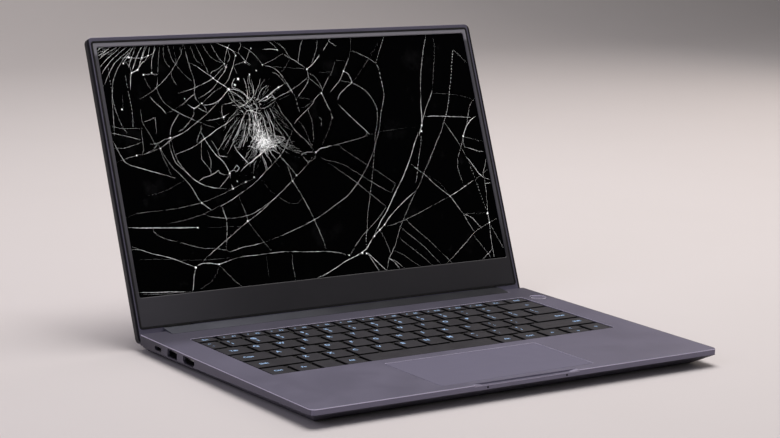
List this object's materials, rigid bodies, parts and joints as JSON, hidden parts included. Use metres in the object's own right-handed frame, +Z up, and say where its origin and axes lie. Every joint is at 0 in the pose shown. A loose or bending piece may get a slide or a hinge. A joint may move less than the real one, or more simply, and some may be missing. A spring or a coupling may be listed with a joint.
{
  "type": "broken laptop",
  "caption": "Thin open laptop with a hinged lid and a cracked black display, pressing keys, a clicking touchpad and a power button.",
  "frame": {"origin": "bottom centre of the whole object with the lid open as stored: middle of width and depth, on the plane under the feet", "axes": "+X to the right-hand keys, +Y to the rear, where the lid is hinged, +Z up"},
  "size_m": [0.3224, 0.2954, 0.2007],
  "materials": {
    "deck_aluminium": "bead-blasted anodised, violet grey",
    "underside_aluminium": "bead-blasted anodised, violet grey",
    "lid_aluminium": "bead-blasted anodised, violet grey",
    "rubber": "matt moulded",
    "key_plastic": "fine matt moulded",
    "touchpad_surface": "smooth satin, deck coloured",
    "power_button_metal": "satin with a bright cut edge",
    "socket_steel": "drawn sheet, dark inside",
    "circuit_board": "solder mask",
    "black_plastic": "moulded",
    "copper": "plain copper",
    "bezel_plastic": "fine matt moulded",
    "cracked_glass": "black display with white cracks",
    "panel_frame": "satin",
    "hinge_cover_plastic": "satin metallic grey",
    "hinge_steel": "turned and stamped"
  },
  "bodies": {
    "base": {"top_case": "deck_aluminium", "bottom_cover": "underside_aluminium", "rear_foot": "rubber", "front_foot_left": "rubber", "front_foot_right": "rubber", "keyboard_plate": "key_plastic", "usb_c_socket": "socket_steel", "usb_a_socket_left": "socket_steel", "hdmi_socket": "socket_steel", "usb_a_socket_right": "socket_steel", "audio_jack": "socket_steel", "mainboard": "circuit_board", "io_board": "circuit_board", "ssd_module": "circuit_board", "wifi_card": "circuit_board", "battery": "black_plastic", "speaker_left": "black_plastic", "speaker_right": "black_plastic", "fan_housing": "black_plastic", "fin_stack": "copper", "heat_pipe": "copper", "hinge_left_base_bracket": "hinge_steel", "hinge_right_base_bracket": "hinge_steel"},
    "lid": {"lid_back_cover": "lid_aluminium", "lid_gasket": "rubber", "display_bezel": "bezel_plastic", "lcd_glass": "cracked_glass", "lcd_backlight": "panel_frame", "hinge_cover": "hinge_cover_plastic", "hinge_left_pin": "hinge_steel", "hinge_right_pin": "hinge_steel", "hinge_left_lid_bracket": "hinge_steel", "hinge_right_lid_bracket": "hinge_steel"},
    "fan": {"fan_rotor": "black_plastic"},
    "touchpad_plate": {"touchpad": "touchpad_surface"},
    "power_key": {"power_button": "power_button_metal"},
    "left_ctrl_key": {"key_left_ctrl": "key_plastic"},
    "fn_key": {"key_fn": "key_plastic"},
    "start_key": {"key_start": "key_plastic"},
    "left_alt_key": {"key_left_alt": "key_plastic"},
    "space_key": {"key_space": "key_plastic"},
    "right_alt_key": {"key_right_alt": "key_plastic"},
    "right_ctrl_key": {"key_right_ctrl": "key_plastic"},
    "arrow_left_key": {"key_arrow_left": "key_plastic"},
    "arrow_down_key": {"key_arrow_down": "key_plastic"},
    "arrow_up_key": {"key_arrow_up": "key_plastic"},
    "arrow_right_key": {"key_arrow_right": "key_plastic"},
    "left_shift_key": {"key_left_shift": "key_plastic"},
    "right_shift_key": {"key_right_shift": "key_plastic"},
    "caps_lock_key": {"key_caps_lock": "key_plastic"},
    "enter_key": {"key_enter": "key_plastic"},
    "tab_key": {"key_tab": "key_plastic"},
    "backslash_key": {"key_backslash": "key_plastic"},
    "backspace_key": {"key_backspace": "key_plastic"},
    "escape_key": {"key_escape": "key_plastic"}
  },
  "joints": [
    {"name": "lid_hinge", "type": "hinge", "parent": "base", "child": "lid", "pos_m": [0, 0.06169, 0.00838], "axis": [-1, 0, 0], "range_deg": [-112, 66]},
    {"name": "fan_spin", "type": "hinge", "parent": "base", "child": "fan", "pos_m": [0.092, 0.01552, 0.0045], "axis": [0, 0, 1], "continuous": true},
    {"name": "touchpad_click", "type": "hinge", "parent": "base", "child": "touchpad_plate", "pos_m": [0, -0.07698, 0.01125], "axis": [1, 0, 0], "range_deg": [0, 0.33], "stiffness_Nm_per_rad": 18, "springref_deg": -0.23},
    {"name": "power_press", "type": "slide", "parent": "base", "child": "power_key", "axis": [0, 0, -1], "range_m": [0, 0.0004], "stiffness_N_per_m": 3000, "springref_m": -0.0001},
    {"name": "left_ctrl_press", "type": "slide", "parent": "base", "child": "left_ctrl_key", "axis": [0, 0, -1], "range_m": [0, 0.0012], "stiffness_N_per_m": 400, "springref_m": -0.0005},
    {"name": "fn_press", "type": "slide", "parent": "base", "child": "fn_key", "axis": [0, 0, -1], "range_m": [0, 0.0012], "stiffness_N_per_m": 400, "springref_m": -0.0005},
    {"name": "start_press", "type": "slide", "parent": "base", "child": "start_key", "axis": [0, 0, -1], "range_m": [0, 0.0012], "stiffness_N_per_m": 400, "springref_m": -0.0005},
    {"name": "left_alt_press", "type": "slide", "parent": "base", "child": "left_alt_key", "axis": [0, 0, -1], "range_m": [0, 0.0012], "stiffness_N_per_m": 400, "springref_m": -0.0005},
    {"name": "space_press", "type": "slide", "parent": "base", "child": "space_key", "axis": [0, 0, -1], "range_m": [0, 0.0012], "stiffness_N_per_m": 400, "springref_m": -0.0005},
    {"name": "right_alt_press", "type": "slide", "parent": "base", "child": "right_alt_key", "axis": [0, 0, -1], "range_m": [0, 0.0012], "stiffness_N_per_m": 400, "springref_m": -0.0005},
    {"name": "right_ctrl_press", "type": "slide", "parent": "base", "child": "right_ctrl_key", "axis": [0, 0, -1], "range_m": [0, 0.0012], "stiffness_N_per_m": 400, "springref_m": -0.0005},
    {"name": "arrow_left_press", "type": "slide", "parent": "base", "child": "arrow_left_key", "axis": [0, 0, -1], "range_m": [0, 0.0012], "stiffness_N_per_m": 400, "springref_m": -0.0005},
    {"name": "arrow_down_press", "type": "slide", "parent": "base", "child": "arrow_down_key", "axis": [0, 0, -1], "range_m": [0, 0.0012], "stiffness_N_per_m": 400, "springref_m": -0.0005},
    {"name": "arrow_up_press", "type": "slide", "parent": "base", "child": "arrow_up_key", "axis": [0, 0, -1], "range_m": [0, 0.0012], "stiffness_N_per_m": 400, "springref_m": -0.0005},
    {"name": "arrow_right_press", "type": "slide", "parent": "base", "child": "arrow_right_key", "axis": [0, 0, -1], "range_m": [0, 0.0012], "stiffness_N_per_m": 400, "springref_m": -0.0005},
    {"name": "left_shift_press", "type": "slide", "parent": "base", "child": "left_shift_key", "axis": [0, 0, -1], "range_m": [0, 0.0012], "stiffness_N_per_m": 400, "springref_m": -0.0005},
    {"name": "right_shift_press", "type": "slide", "parent": "base", "child": "right_shift_key", "axis": [0, 0, -1], "range_m": [0, 0.0012], "stiffness_N_per_m": 400, "springref_m": -0.0005},
    {"name": "caps_lock_press", "type": "slide", "parent": "base", "child": "caps_lock_key", "axis": [0, 0, -1], "range_m": [0, 0.0012], "stiffness_N_per_m": 400, "springref_m": -0.0005},
    {"name": "enter_press", "type": "slide", "parent": "base", "child": "enter_key", "axis": [0, 0, -1], "range_m": [0, 0.0012], "stiffness_N_per_m": 400, "springref_m": -0.0005},
    {"name": "tab_press", "type": "slide", "parent": "base", "child": "tab_key", "axis": [0, 0, -1], "range_m": [0, 0.0012], "stiffness_N_per_m": 400, "springref_m": -0.0005},
    {"name": "backslash_press", "type": "slide", "parent": "base", "child": "backslash_key", "axis": [0, 0, -1], "range_m": [0, 0.0012], "stiffness_N_per_m": 400, "springref_m": -0.0005},
    {"name": "backspace_press", "type": "slide", "parent": "base", "child": "backspace_key", "axis": [0, 0, -1], "range_m": [0, 0.0012], "stiffness_N_per_m": 400, "springref_m": -0.0005},
    {"name": "escape_press", "type": "slide", "parent": "base", "child": "escape_key", "axis": [0, 0, -1], "range_m": [0, 0.0012], "stiffness_N_per_m": 400, "springref_m": -0.0005}
  ]
}
